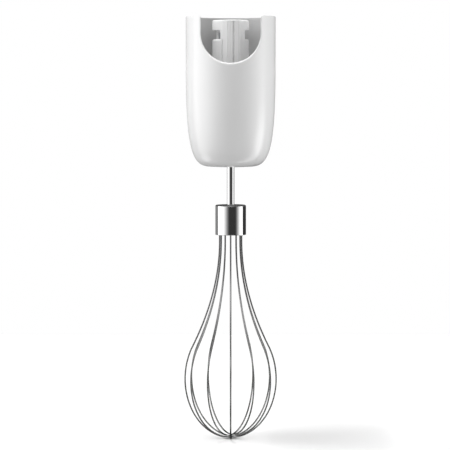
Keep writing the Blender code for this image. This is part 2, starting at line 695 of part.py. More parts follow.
def make_carrier(axis, look):
    """The planet carrier, with the hub that the whisk's shaft plugs into."""
    groove_top = OUTPUT_CLIP_TOP + FIT / 2
    groove_bottom = OUTPUT_CLIP_TOP - CLIP_THICKNESS - FIT / 2
    profile = [(0, HEX_BOTTOM), (SHAFT_BORE, HEX_BOTTOM), (SHAFT_BORE, HUB_BOTTOM)]
    profile.append((HUB_RADIUS, HUB_BOTTOM))
    profile += grooved(HUB_RADIUS, groove_bottom, groove_top, CLIP_GROOVE)
    profile += [
        (HUB_RADIUS, CARRIER_BOTTOM),
        (CARRIER_RADIUS, CARRIER_BOTTOM),
        (CARRIER_RADIUS, CARRIER_TOP),
        (0, CARRIER_TOP),
    ]
    carrier = turned("planet_carrier", profile, look["natural_acetal"], axis, MEDIUM, on_axis=True)
    hexagon = plate("hex_socket", [circle(HEX_RADIUS + HEX_CLEARANCE, 6)], HEX_BOTTOM - LIP, SOCKET_TOP)
    boolean(carrier, hexagon)
    cap_outline = circle(CARRIER_RADIUS, MEDIUM)
    sun_hole = circle(SUN_PITCH + ADDENDUM * MODULE + RUN, COARSE)
    pin_holes = []
    for k in range(PLANET_COUNT):
        angle = math.tau * k / PLANET_COUNT
        place = polar(PLANET_CIRCLE, angle)
        pin_holes.append(circle(PIN_RADIUS + FIT, TINY, place))
        hole = rod(f"pin_hole_{k}", PIN_RADIUS + FIT, PIN_BOTTOM - FIT, CARRIER_TOP + CUT, steps=TINY)
        hole.location = (*place, 0)
        boolean(carrier, hole)
        pin = rod(f"planet_pin_{k + 1}", PIN_RADIUS, PIN_BOTTOM, CAP_TOP - FIT, look["steel"], axis, TINY)
        pin.location = (*place, 0)
        pillar = rod(f"pillar_{k}", PILLAR_RADIUS, CARRIER_TOP - LIP, CAP_BOTTOM - FIT, steps=TINY)
        pillar.location = (*polar(PILLAR_CIRCLE, angle + math.pi / PLANET_COUNT), 0)
        boolean(carrier, pillar, "UNION")
    holes = [sun_hole, *pin_holes]
    plate("carrier_cap", [cap_outline, *holes], CAP_BOTTOM, CAP_TOP, look["natural_acetal"], axis)
    inner = HUB_RADIUS + RUN
    bottom = CASE_FLOOR_TOP + FIT
    top = bottom + WASHER_THICKNESS
    ring("thrust_washer", inner, inner + WASHER_WIDTH, bottom, top, look["steel"], axis)
    clip("output_clip", HUB_RADIUS, OUTPUT_CLIP_TOP - CLIP_THICKNESS, look["steel"], axis)


def make_planets(carrier_axis, look):
    tip = PLANET_PITCH + ADDENDUM * MODULE
    root = PLANET_PITCH - DEDENDUM * MODULE
    outlines = [gear_outline(PLANET_TEETH, tip, root), circle(PIN_RADIUS + RUN, TINY)]
    for k in range(PLANET_COUNT):
        angle = math.tau * k / PLANET_COUNT
        axis = axis_empty(f"planet_axis_{k + 1}", carrier_axis, (*polar(PLANET_CIRCLE, angle), 0))
        name = f"planet_gear_{k + 1}"
        planet = plate(name, outlines, GEAR_BOTTOM, GEAR_TOP, look["natural_acetal"], axis)
        # A space faces the sun's tooth
        planet.rotation_euler.z = angle + math.pi + math.pi / PLANET_TEETH


def make_shaft(axis, look):
    groove_bottom = RETAINER_TOP - RETAINER_WIDTH
    profile = [(0, SHAFT_BOTTOM), (SHAFT_RADIUS, SHAFT_BOTTOM)]
    profile += grooved(SHAFT_RADIUS, groove_bottom - FIT / 2, RETAINER_TOP + FIT / 2, RETAINER_GROOVE)
    profile += [(SHAFT_RADIUS, HEX_BOTTOM - 2 * FIT), (0, HEX_BOTTOM - 2 * FIT)]
    shaft = turned("whisk_shaft", profile, look["chrome"], axis, COARSE, on_axis=True)
    hexagon = plate("hex_end", [circle(HEX_RADIUS, 6)], HEX_BOTTOM - LIP, SHAFT_TOP)
    boolean(shaft, hexagon, "UNION")
    inner = SHAFT_RADIUS - RETAINER_GROOVE + FIT / 2
    outer = SHAFT_RADIUS + RETAINER_PROUD
    ring("shaft_retainer", inner, outer, groove_bottom, RETAINER_TOP, look["steel"], axis, COARSE)


def make_ferrule(axis, look):
    """The bright cup that closes the top of the whisk."""
    inner = FERRULE_RADIUS - FERRULE_WALL
    hole = SHAFT_RADIUS + WIRE_FIT
    corner = (FERRULE_RADIUS - FERRULE_EDGE, FERRULE_TOP - FERRULE_EDGE)
    rounded = arc(FERRULE_EDGE, math.pi / 2, 0, CORNER_STEPS, corner)
    profile = [(hole, FERRULE_TOP), *rounded]
    profile += [
        (FERRULE_RADIUS, FERRULE_BOTTOM + FERRULE_LIP),
        (FERRULE_RADIUS - FERRULE_LIP, FERRULE_BOTTOM),
        (inner, FERRULE_BOTTOM),
        (inner, FERRULE_TOP - FERRULE_EDGE),
        (inner - FERRULE_EDGE / 2, FERRULE_TOP - FERRULE_WALL),
        (hole, FERRULE_TOP - FERRULE_WALL),
    ]
    turned("ferrule", profile, look["chrome"], axis)


def make_holder(axis, look):
    """The plug inside the ferrule, with a hole for each wire end and the shaft's bore."""
    ends = 2 * LOOP_COUNT
    outlines = [circle(HOLDER_RADIUS, MEDIUM), circle(SHAFT_RADIUS + WIRE_FIT, COARSE)]
    for k in range(ends):
        place = polar(NECK_RADIUS, math.tau * k / ends)
        outlines.append(circle(WIRE_DIAMETER / 2 + WIRE_FIT, 8, place))
    top = HOLDER_BOTTOM + HOLDER_HEIGHT
    plate("wire_holder", outlines, HOLDER_BOTTOM, top, look["grey_nylon"], axis)


def half_loop(level):
    """One half of a loop as (out, up) points, from its end in the holder to the tip."""
    join = (BELLY_RADIUS * math.cos(BELLY_JOIN), BELLY_HEIGHT + BELLY_RISE * math.sin(BELLY_JOIN))
    slope = BELLY_RADIUS * math.sin(BELLY_JOIN) / (BELLY_RISE * math.cos(BELLY_JOIN))
    corner = (NECK_RADIUS, join[1] + (join[0] - NECK_RADIUS) / slope)
    start = (NECK_RADIUS, FERRULE_BOTTOM - NECK_STRAIGHT)
    points = [(NECK_RADIUS, WIRE_TOP)]
    points += bezier([start, corner, join], NECK_STEPS)
    for i in range(1, BELLY_STEPS + 1):
        angle = BELLY_JOIN * (1 - i / BELLY_STEPS)
        points.append((BELLY_RADIUS * math.cos(angle), BELLY_HEIGHT + BELLY_RISE * math.sin(angle)))
    depth = BELLY_DEPTH - level * CROSSING_PITCH
    for i in range(1, FOOT_STEPS + 1):
        angle = math.pi / 2 * i / FOOT_STEPS
        points.append((BELLY_RADIUS * math.cos(angle), BELLY_HEIGHT - depth * math.sin(angle)))
    return points


def wire_section(out):
    """Half thickness and half width of a wire, which is flat within reach of the axis."""
    t = min(max((abs(out) - CROSSING_FLAT) / CROSSING_BLEND, 0.0), 1.0)
    t = t * t * (3 - 2 * t)
    thickness = CROSSING_THICKNESS + (WIRE_DIAMETER - CROSSING_THICKNESS) * t
    width = CROSSING_WIDTH + (WIRE_DIAMETER - CROSSING_WIDTH) * t
    return thickness / 2, width / 2


def make_loop(number, level, angle, axis, look):
    """One wire loop, swept in its own plane and then turned to its direction."""
    half = half_loop(level)
    half[-1] = (0.0, half[-1][1])
    path = half + [(-out, up) for out, up in reversed(half[:-1])]
    bm = bmesh.new()
    rings = []
    for i, (out, up) in enumerate(path):
        before, after = path[max(i - 1, 0)], path[min(i + 1, len(path) - 1)]
        run, rise = after[0] - before[0], after[1] - before[1]
        length = math.hypot(run, rise)
        normal = (-rise / length, run / length)
        thick, wide = wire_section(out)
        corners = []
        for side in range(WIRE_SIDES):
            turn = math.tau * (side + 0.5) / WIRE_SIDES
            across = thick * math.cos(turn) / math.cos(math.pi / WIRE_SIDES)
            along = wide * math.sin(turn)
            place = (out + normal[0] * across, along, up + normal[1] * across)
            corners.append(bm.verts.new(place))
        rings.append(corners)
    for first, second in zip(rings, rings[1:]):
        for side in range(WIRE_SIDES):
            following = (side + 1) % WIRE_SIDES
            bm.faces.new((first[side], first[following], second[following], second[side]))
    bm.faces.new(rings[0])
    bm.faces.new(rings[-1])
    loop = finish_mesh(f"wire_loop_{number}", bm, look["wire_steel"], axis)
    loop.rotation_euler.z = angle


def make_whisk(axis, look):
    make_shaft(axis, look)
    make_ferrule(axis, look)
    make_holder(axis, look)
    for level, angle in enumerate(LOOP_ANGLES):
        make_loop(level + 1, level, angle, axis, look)


def main():
    for obj in list(bpy.data.objects):
        bpy.data.objects.remove(obj)
    look = make_materials()
    frame = axis_empty("coupling_frame")
    input_axis = axis_empty("input_axis", frame)
    carrier_axis = axis_empty("carrier_axis", frame)
    whisk_axis = axis_empty("whisk_axis", carrier_axis)
    make_static_pieces(frame, look)
    make_input_drive(input_axis, look)
    make_carrier(carrier_axis, look)
    make_planets(carrier_axis, look)
    make_whisk(whisk_axis, look)


main()
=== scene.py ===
"""The looks of a hand blender's whisk attachment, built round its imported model.

The frame's origin is on the axis, in the plane of the coupling's rim. +Z is up, the attachment hangs
below the origin, and the scoop in the rim faces -Y.
"""

import json
import math

import bmesh
import bpy
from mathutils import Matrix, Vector


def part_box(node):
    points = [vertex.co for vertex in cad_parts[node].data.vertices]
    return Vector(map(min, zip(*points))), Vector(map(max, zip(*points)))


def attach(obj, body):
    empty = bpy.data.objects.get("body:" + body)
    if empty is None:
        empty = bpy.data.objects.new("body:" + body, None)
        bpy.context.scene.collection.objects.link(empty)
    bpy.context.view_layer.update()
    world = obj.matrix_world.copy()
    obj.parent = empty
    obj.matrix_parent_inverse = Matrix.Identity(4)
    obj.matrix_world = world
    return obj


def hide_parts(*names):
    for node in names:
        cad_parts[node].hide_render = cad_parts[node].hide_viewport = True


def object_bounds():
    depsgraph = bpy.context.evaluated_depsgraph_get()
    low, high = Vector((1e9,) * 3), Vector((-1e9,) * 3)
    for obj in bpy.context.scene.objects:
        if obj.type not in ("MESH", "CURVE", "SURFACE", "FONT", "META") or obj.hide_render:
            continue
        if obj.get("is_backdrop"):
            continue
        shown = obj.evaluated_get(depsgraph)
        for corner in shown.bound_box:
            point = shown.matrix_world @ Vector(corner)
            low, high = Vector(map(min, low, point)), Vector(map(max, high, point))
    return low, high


MM = 0.001
WELD = 0.001 * MM
CUT = 2.0 * MM  # how far a cutter reaches past the wall that it cuts
SMOOTH_BELOW = math.radians(32)  # sharper edges than this are shaded sharp
BEVEL_ABOVE = math.radians(38)  # sharper edges than this are rounded by a bevel
TOWER_SMOOTH_BELOW = math.radians(9)  # so that the ribs' flats stay flat
WIRE_SMOOTH_BELOW = math.radians(60)

# Outer shell
SHELL_WALL = 2.2 * MM
SHELL_STRAIGHT = 34.0 * MM
SIDE_PULL = 51.5 * MM
FOOT_RADIUS = 12.4 * MM
FOOT_PULL = 10.6 * MM
FOOT_DROP = 0.3 * MM
HOLE_RADIUS = 3.0 * MM
HOLE_EDGE = 0.3 * MM
SEAL_SEAT = 1.0 * MM  # above the shell's bottom
SEAL_POCKET = 5.5 * MM
SEAL_TOP = 4.6 * MM  # above the shell's bottom
POCKET_WALL = 1.8 * MM
CURVE_STEPS = 28
FOOT_STEPS = 4
HOLE_STEPS = 4

# Scoop in the rim
SCOOP_HALF_WIDTH = 18.3 * MM
SCOOP_DEPTH = 29.0 * MM
SCOOP_CORNER = 1.6 * MM
SCOOP_EDGE = 1.3 * MM  # how far the rounding of the cut reaches over the outside
RIM_EDGE = 0.45 * MM
CUT_EDGE_SHARE = 0.6  # of the wall, the most that the outer rounding takes of the cut face
INNER_EDGE = 0.4 * MM
BOWL_STEPS = 22
SIDE_STEPS = 7
CORNER_STEPS = 7
RIM_STEPS = 48
FILLET_STEPS = 5
INNER_FILLET_STEPS = 3
ROWS = (0.0, 0.05, 0.13, 0.27, 0.45, 0.7)  # down from the cut edge to the plain side

# Coupling tower
TOWER_RADIUS = 11.3 * MM
TOWER_WALL = 2.5 * MM
TOWER_TURN = math.radians(8.25)
TOWER_EDGE = 0.9 * MM
TOWER_BORE_EDGE = 0.3 * MM
TOWER_STEPS = 128
EDGE_STEPS = 14
WINDOW_TOP = 8.4 * MM
WINDOW_HEIGHT = 5.8 * MM
WINDOW_SPAN = math.radians(95.0)
WINDOW_STEPS = 48
RIB_RADIUS = 12.1 * MM
RIBS = (  # the two ribs' flats, from and to in degrees from the middle of the groove between them
    ((-33.0, -17.4), (-15.8, -10.0), (-9.4, -2.6)),
    ((2.6, 15.8), (17.4, 23.5)),
)
RIB_ROOT = 0.6 * MM  # how far a rib reaches into the tower's wall
RIB_SINK = 0.5 * MM  # and down into the flange
RIB_FALL = 0.45  # of the tower's top edge, how far a rib ends below the top
SEAM_DEPTH = 0.6 * MM  # of the lines between a rib's flats
FOOT_LINE_WIDTH = math.radians(4.2)  # of the line beside the wider rib, below the windows
FOOT_LINE_DEPTH = 1.6 * MM
GROOVE_DEPTH = 1.5 * MM  # of the groove between the ribs
GROOVE_RISE = 0.2 * MM  # from the flange to a groove's lower end
FLANGE_TOP = -43.0 * MM
FLANGE_THICKNESS = 3.0 * MM
FLANGE_RADIUS = 25.0 * MM
WEB_TOP = -38.0 * MM
BUSH_SEAT = 4.65 * MM
TOWER_BEVEL = 0.22 * MM

# Whisk
WIRE_DIAMETER = 1.0 * MM
WIRE_SIDES = 14
NECK_RADIUS = 6.8 * MM
NECK_STRAIGHT = 4.0 * MM
BELLY_RADIUS = 28.4 * MM
BELLY_DROP = 90.4 * MM
BELLY_RISE = 37.5 * MM
BELLY_DEPTH = 37.0 * MM
BELLY_JOIN = math.radians(33.4)
CROSSING_THICKNESS = 0.45 * MM
CROSSING_WIDTH = 1.5 * MM
CROSSING_PITCH = 0.5 * MM
CROSSING_FLAT = 3.3 * MM
CROSSING_BLEND = 3.0 * MM
NECK_STEPS = 30
BELLY_STEPS = 14
TIP_STEPS = 44
WIRE_RISE = 11.0 * MM  # of a wire's end in its holder, above the ferrule's lower edge
LOOP_ANGLES = [math.radians(a) for a in (90, 0, 30, 150, 60, 120)]
FERRULE_WALL = 0.5 * MM
FERRULE_EDGE = 0.9 * MM
FERRULE_LIP = 0.25 * MM
FERRULE_BREAK = 0.15 * MM  # on the edges inside
FERRULE_BREAK_WIDTH = 0.1 * MM  # of the lower one, and from the upper one to the row beside it
FERRULE_SHOULDER = 0.4 * MM  # of the slope inside, under the top
FERRULE_ROWS = (0.25, 0.5, 0.75)  # down its side
FERRULE_STEPS = 128
FERRULE_EDGE_STEPS = 8
FERRULE_LIP_STEPS = 5
SHAFT_GAP = 0.12 * MM  # between the shaft and the ferrule's hole
SUPPORT = 0.08 * MM  # from a rounded edge to the row that keeps the flat beside it evenly shaded
PAINTED_DARK_ABOVE = 0.22  # the ferrule takes a painted dark reflection where its normal rises or falls more steeply than this
HOLDER_EDGE = 0.3 * MM
HOLDER_DIMPLE = 0.75 * MM  # radius of the hole round each wire
HOLDER_DISH = 0.8 * MM  # depth of the hollow between the wires, and of the holes round them
HOLDER_LAND = 1.4 * MM  # from the wires' circle in to the hollow
HOLDER_SLOPE = 1.0 * MM
DIMPLE_STEPS = 20
SHAFT_ROUND = 2.8 * MM  # from the snap ring up to the hexagon
SHAFT_ROWS = 24
SHAFT_STEPS = 64
HEXAGON_SHARE = 0.96  # of the shaft's radius, to the hexagon's corners
HEXAGON_ROOT = 1.0 * MM

# Camera, level with the middle of the coupling
CAMERA_DISTANCE = 1.364
CAMERA_HEIGHT = -0.051
AIM_HEIGHT = -0.1291
AIM_ASIDE = -0.0035
PICTURE_WIDTH = 0.2798  # across the picture at the axis
CLIP_END = 60.0

# Studio
FLOOR_SIZE = 1.2
FLOOR_GAP = 0.05 * MM
SOFTBOXES = (
    # azimuth from the front towards the right, from and to, with the fade at each end; elevation from
    # and to, with its fade; brightness. All angles are in degrees.
    ((-111, -46, 12, 78), (-29, 80, 5), 1.93),  # tall panel on the left, fading towards the front
    ((-102, -97, 8, 23), (16, 50, 12), 1.1),  # strip above its back edge
    ((67, 101, 67, 9), (-26, 72, 3), 1.8),  # tall panel on the right
    ((88, 116, 6, 10), (18, 53, 12), 3.8),  # strip behind its upper half
    ((-46, 24, 14, 45), (16, 32, 11), 2.8),  # fill above the camera
    ((-126, -84, 5, 12), (-50, -31, 10), 2.8),  # the floor's glow under the left panel
    ((76, 105, 27, 4), (-78, -6, 6), 3.3),  # and under the right one
    ((-31, 31, 20, 18), (-43, -12, 10), 0.6),  # and in front
    ((-179, 179, 1, 1), (-90, -55, 8), 0.13),  # and straight below
    ((-178, -128, 4, 10), (-40, 40, 12), 0.3),  # faint light behind on the left
    ((-179, 179, 1, 1), (60, 95, 10), 0.6),  # soft light overhead
    ((-179, 179, 1, 1), (-30, 20, 12), 0.04),  # the dark room
)
LAMP_AZIMUTH = math.radians(-90.5)  # on the left of the camera's view
LAMP_ELEVATION = math.radians(75.5)
LAMP_DISTANCE = 2.0
LAMP_LENGTH, LAMP_WIDTH = 0.85, 0.12
LAMP_WATTS = 23.0


def in_scene(obj):
    """Adds an object to the scene."""
    bpy.context.scene.collection.objects.link(obj)
    return obj


def finish_mesh(name, bm, surface, sharp=SMOOTH_BELOW):
    """Turns a bmesh into an object whose faces point out and whose round sides are smooth."""
    bmesh.ops.remove_doubles(bm, verts=bm.verts, dist=WELD)
    bmesh.ops.recalc_face_normals(bm, faces=bm.faces)
    mesh = bpy.data.meshes.new(name)
    bm.to_mesh(mesh)
    bm.free()
    mesh.shade_smooth()
    mesh.set_sharp_from_angle(angle=sharp)
    if surface:
        mesh.materials.append(surface)
    return in_scene(bpy.data.objects.new(name, mesh))


def place(piece, body, slot, *nodes):
    """The piece rides on a body and stands for these CAD nodes; the slot is not used."""
    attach(piece, body)
    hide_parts(*nodes)


def polar(radius, angle):
    """The x and y of a point at an angle on a circle about the origin."""
    return radius * math.cos(angle), radius * math.sin(angle)


def arc(radius, start, end, steps, centre=(0.0, 0.0)):
    """Points along an arc, both ends included."""
    angles = [start + (end - start) * i / steps for i in range(steps + 1)]
    return [(centre[0] + x, centre[1] + y) for x, y in (polar(radius, a) for a in angles)]


def ease(t):
    """A smooth step from 0 to 1 as t goes from 0 to 1."""
    t = min(max(t, 0.0), 1.0)
    return t * t * (3 - 2 * t)


def bezier(points, steps):
    """Points along a Bezier curve through any number of coordinates."""
    order = len(points) - 1
    found = []
    for i in range(steps + 1):
        t = i / steps
        weights = [math.comb(order, k) * t**k * (1 - t) ** (order - k) for k in range(order + 1)]
        found.append(tuple(sum(w * v for w, v in zip(weights, values)) for values in zip(*points)))
    return found


def inset(points, distance):
    """A line of (radius, height) points moved square to itself."""
    found = []
    for i, (radius, height) in enumerate(points):
        before, after = points[max(i - 1, 0)], points[min(i + 1, len(points) - 1)]
        run, rise = after[0] - before[0], after[1] - before[1]
        length = math.hypot(run, rise)
        found.append((radius + rise / length * distance, height - run / length * distance))
    return found


def turned(name, profile, surface, steps=96, on_axis=False, start=0.0, angle=math.tau):
    """A turned solid about Z from (radius, height) points, all round or through an angle."""
    bm = bmesh.new()
    spots = [(r * math.cos(start), r * math.sin(start), z) for r, z in profile]
    verts = [bm.verts.new(spot) for spot in spots]
    edges = [bm.edges.new(pair) for pair in zip(verts, verts[1:])]
    whole = angle == math.tau
    if not on_axis:
        edges.append(bm.edges.new((verts[-1], verts[0])))
    if not whole:
        bm.faces.new(verts)
    bmesh.ops.spin(
        bm,
        geom=list(bm.verts) + list(bm.edges) + list(bm.faces),
        cent=(0, 0, 0),
        axis=(0, 0, 1),
        angle=angle,
        steps=steps,
        use_merge=whole,
    )
    return finish_mesh(name, bm, surface)


def plate(name, outlines, bottom, top, surface=None):
    """A flat solid between two heights, from its outline and the outlines of its holes."""
    bm = bmesh.new()
    edges = []
    for outline in outlines:
        verts = [bm.verts.new((x, y, bottom)) for x, y in outline]
        edges += [bm.edges.new((verts[i - 1], vert)) for i, vert in enumerate(verts)]
    bmesh.ops.triangle_fill(bm, use_beauty=True, edges=edges)
    raised = bmesh.ops.extrude_face_region(bm, geom=list(bm.faces), use_keep_orig=True)["geom"]
    corners = [item for item in raised if isinstance(item, bmesh.types.BMVert)]
    bmesh.ops.translate(bm, verts=corners, vec=(0, 0, top - bottom))
    return finish_mesh(name, bm, surface)


def boolean(obj, other, operation="DIFFERENCE"):
    """Cuts or joins another object, and bakes the result into this one's mesh."""
    modifier = obj.modifiers.new(other.name, "BOOLEAN")
    modifier.operation = operation
    modifier.object = other
    apply_modifiers(obj)
    bpy.data.objects.remove(other)


def apply_modifiers(obj):
    """Bakes an object's modifiers into its mesh."""
    graph = bpy.context.evaluated_depsgraph_get()
    mesh = bpy.data.meshes.new_from_object(obj.evaluated_get(graph))
    obj.modifiers.clear()
    obj.data = mesh


def bevel(obj, width):
    """Rounds an object's sharp edges."""
    modifier = obj.modifiers.new("edges", "BEVEL")
    modifier.width = width
    modifier.segments = 2
    modifier.limit_method = "ANGLE"
    modifier.angle_limit = BEVEL_ABOVE
    apply_modifiers(obj)


def finish_cut(obj, surface, sharp=SMOOTH_BELOW):
    """Leaves one material on an object after its cuts, and smooths it again."""
    obj.data.materials.clear()
    obj.data.materials.append(surface)
    obj.data.shade_smooth()
    obj.data.set_sharp_from_angle(angle=sharp)


# Materials


def shader(name, colour, roughness, metallic=0.0):
    """A material with its node tree and its surface's node."""
    made = bpy.data.materials.new(name)
    made.use_nodes = True
    tree = made.node_tree
    surface = tree.nodes["Principled BSDF"]
    surface.inputs["Base Color"].default_value = (*colour, 1.0)
    surface.inputs["Roughness"].default_value = roughness
    surface.inputs["Metallic"].default_value = metallic
    return made, tree, surface


def noise(tree, scale, detail=2.0, stretch=(1.0, 1.0, 1.0)):
    """A noise in the object's own coordinates, in features per metre."""
    spot = tree.nodes.new("ShaderNodeTexCoord")
    mapping = tree.nodes.new("ShaderNodeMapping")
    mapping.inputs["Scale"].default_value = stretch
    pattern = tree.nodes.new("ShaderNodeTexNoise")
    pattern.inputs["Scale"].default_value = scale
    pattern.inputs["Detail"].default_value = detail
    tree.links.new(spot.outputs["Object"], mapping.inputs["Vector"])
    tree.links.new(mapping.outputs["Vector"], pattern.inputs["Vector"])
    return pattern.outputs["Fac"]


def ranged(tree, value, low, high):
    """A pattern stretched to run from low to high."""
    made = tree.nodes.new("ShaderNodeMapRange")
    made.inputs["From Min"].default_value = 0.3
    made.inputs["From Max"].default_value = 0.7
    made.inputs["To Min"].default_value = low
    made.inputs["To Max"].default_value = high
    tree.links.new(value, made.inputs["Value"])
    return made.outputs["Result"]


def vary_colour(tree, surface, pattern, first, second):
    """Makes a surface's colour follow a pattern between two colours."""
    mix = tree.nodes.new("ShaderNodeMix")
    mix.data_type = "RGBA"
    mix.inputs["A"].default_value = (*first, 1.0)
    mix.inputs["B"].default_value = (*second, 1.0)
    tree.links.new(ranged(tree, pattern, 0.0, 1.0), mix.inputs["Factor"])
    tree.links.new(mix.outputs["Result"], surface.inputs["Base Color"])


def bump(tree, surface, pattern, depth, strength):
    """Raises a surface by a pattern."""
    made = tree.nodes.new("ShaderNodeBump")
    made.inputs["Strength"].default_value = strength
    made.inputs["Distance"].default_value = depth
    tree.links.new(pattern, made.inputs["Height"])
    tree.links.new(made.outputs["Normal"], surface.inputs["Normal"])


def gloss_plastic(name, colour, roughness=0.2):
    """Moulded gloss plastic: a faint flow in the colour, haze in the gloss and a slight ripple."""
    made, tree, surface = shader(name, colour, roughness)
    darker = tuple(c * 0.985 for c in colour)
    vary_colour(tree, surface, noise(tree, 35.0), colour, darker)
    haze = ranged(tree, noise(tree, 160.0, 4.0), roughness * 0.9, roughness * 1.12)
    tree.links.new(haze, surface.inputs["Roughness"])
    bump(tree, surface, noise(tree, 1400.0, 1.0), 0.004 * MM, 0.25)
    surface.inputs["IOR"].default_value = 1.5
    return made


def satin_plastic(name, colour, roughness=0.42):
    """Moulded plastic with a fine spark-eroded grain."""
    made, tree, surface = shader(name, colour, roughness)
    darker = tuple(c * 0.95 for c in colour)
    vary_colour(tree, surface, noise(tree, 90.0, 3.0), colour, darker)
    grain = ranged(tree, noise(tree, 2600.0, 3.0), roughness * 0.85, roughness * 1.15)
    tree.links.new(grain, surface.inputs["Roughness"])
    bump(tree, surface, noise(tree, 3200.0, 2.0), 0.012 * MM, 0.5)
    return made


def polished_metal(name, colour, roughness, stretch=(1.0, 1.0, 1.0), line_depth=0.0012):
    """Polished metal with the fine lines of its buffing, which the stretch lays one way."""
    made, tree, surface = shader(name, colour, roughness, 1.0)
    lines = noise(tree, 900.0, 3.0, stretch)
    haze = ranged(tree, lines, roughness * 0.75, roughness * 1.3)
    tree.links.new(haze, surface.inputs["Roughness"])
    bump(tree, surface, lines, line_depth * MM, 0.35)
    return made


def rubber(name, colour, paler):
    """Rubber with a fine, patchy bloom."""
    made, tree, surface = shader(name, colour, 0.6)
    vary_colour(tree, surface, noise(tree, 700.0), colour, paler)
    bump(tree, surface, noise(tree, 2400.0), 0.01 * MM, 0.5)
    return made


def make_materials():
    """A material for each of the record's slots, and two more: painted shade for the casing's inside,
    and a painted dark reflection for the ferrule's ends.
    """
    return {
        "white_gloss": gloss_plastic("white_gloss", (0.80, 0.80, 0.80)),
        # the casing's inside: the white painted a shade darker, as painted shade for the shade that
        # falls inside the casing
        "inside_painted_shade": satin_plastic("inside_painted_shade", (0.48, 0.48, 0.48), 0.4),
        "white_satin": satin_plastic("white_satin", (0.94, 0.94, 0.94), 0.3),
        "grey_nylon": satin_plastic("grey_nylon", (0.4, 0.41, 0.43)),
        "natural_acetal": satin_plastic("natural_acetal", (0.78, 0.76, 0.7), 0.36),
        "black_rubber": rubber("black_rubber", (0.03, 0.03, 0.03), (0.05, 0.05, 0.048)),
        "bronze": polished_metal("bronze", (0.6, 0.42, 0.22), 0.4, line_depth=0.01),
        "steel": polished_metal("steel", (0.6, 0.6, 0.62), 0.28, line_depth=0.006),
        "chrome": polished_metal("chrome", (0.82, 0.82, 0.82), 0.07, (0.05, 0.05, 1.0)),
        # near black: a painted dark reflection for the ferrule's flat ends
        "painted_dark_reflection": satin_plastic("painted_dark_reflection", (0.07, 0.07, 0.07), 0.5),
        "wire_steel": polished_metal("wire_steel", (0.19, 0.19, 0.19), 0.14, line_depth=0.003),
    }


# Outer shell


def scoop_half():
    """The cut edge's right half as (kind, across, up), from the bottom of the scoop to the rim."""
    width, corner = SCOOP_HALF_WIDTH, SCOOP_CORNER
    low = width - SCOOP_DEPTH
    path = arc(width, -math.pi / 2, 0, BOWL_STEPS, (0, low))
    path += [(width, low + (-corner - low) * i / SIDE_STEPS) for i in range(1, SIDE_STEPS + 1)]
    turn = arc(corner, math.pi, math.pi / 2, CORNER_STEPS, (width + corner, -corner))
    return path + turn[1:]


def on_cylinder(radius, around, height):
    """A point from its distance round a cylinder, counted from the front."""
    angle = around / radius
    return Vector((radius * math.sin(angle), -radius * math.cos(angle), height))


def edge_path(radius):
    """The cut edge on a cylinder, as (distance round, height) points all the way round."""
    front = [(radius * math.asin(x / radius), z) for x, z in scoop_half()]
    start, end = front[-1][0], math.pi * radius
    rim = [(start + (end - start) * i / RIM_STEPS, 0.0) for i in range(1, RIM_STEPS + 1)]
    half = front + rim
    return half + [(-u, z) for u, z in reversed(half[1:-1])]


def into_wall(path, radius):
    """The direction from each point of the edge into the wall, square to the edge."""
    found = []
    turn = math.tau * radius
    for i, (u, z) in enumerate(path):
        before, after = path[i - 1], path[(i + 1) % len(path)]
        run = (after[0] - before[0] + turn / 2) % turn - turn / 2
        rise = after[1] - before[1]
        length = math.hypot(run, rise)
        found.append((rise / length, -run / length))
    return found


def shell_sections():
    """The wall's outside and inside below its straight part, as (radius, height) points."""
    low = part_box("outer_shell")[0].z + FOOT_DROP
    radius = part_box("outer_shell")[1].x
    side = bezier(
        [
            (radius, -SHELL_STRAIGHT),
            (radius, -SHELL_STRAIGHT - SIDE_PULL),
            (FOOT_RADIUS + FOOT_PULL, low),
            (FOOT_RADIUS, low),
        ],
        CURVE_STEPS,
    )
    end = HOLE_RADIUS + HOLE_EDGE
    foot = [
        (FOOT_RADIUS + (end - FOOT_RADIUS) * t, low - FOOT_DROP * t * (2 - t))
        for t in (i / FOOT_STEPS for i in range(1, FOOT_STEPS + 1))
    ]
    corner = (end, low - FOOT_DROP + HOLE_EDGE)
    hole = arc(HOLE_EDGE, -math.pi / 2, -math.pi, HOLE_STEPS, corner)[1:]
    pocket = SEAL_POCKET + POCKET_WALL
    inside = [
        (HOLE_RADIUS, low + SEAL_SEAT),
        (SEAL_POCKET, low + SEAL_SEAT),
        (SEAL_POCKET, low + SEAL_TOP),
        (pocket, low + SEAL_TOP),
        (pocket, low + SHELL_WALL),
    ]
    inside += list(reversed(inset(side, SHELL_WALL)))
    return side + foot + hole, inside


def wall_rows(radius, edge, into, reach, turn):
    """Points down one face of the wall, from beside the cut edge to the end of the straight part."""
    start = (edge[0] + into[0] * reach, edge[1] + into[1] * reach)
    end = (turn * radius, -SHELL_STRAIGHT)
    return [on_cylinder(radius, *(a + (b - a) * t for a, b in zip(start, end))) for t in ROWS]


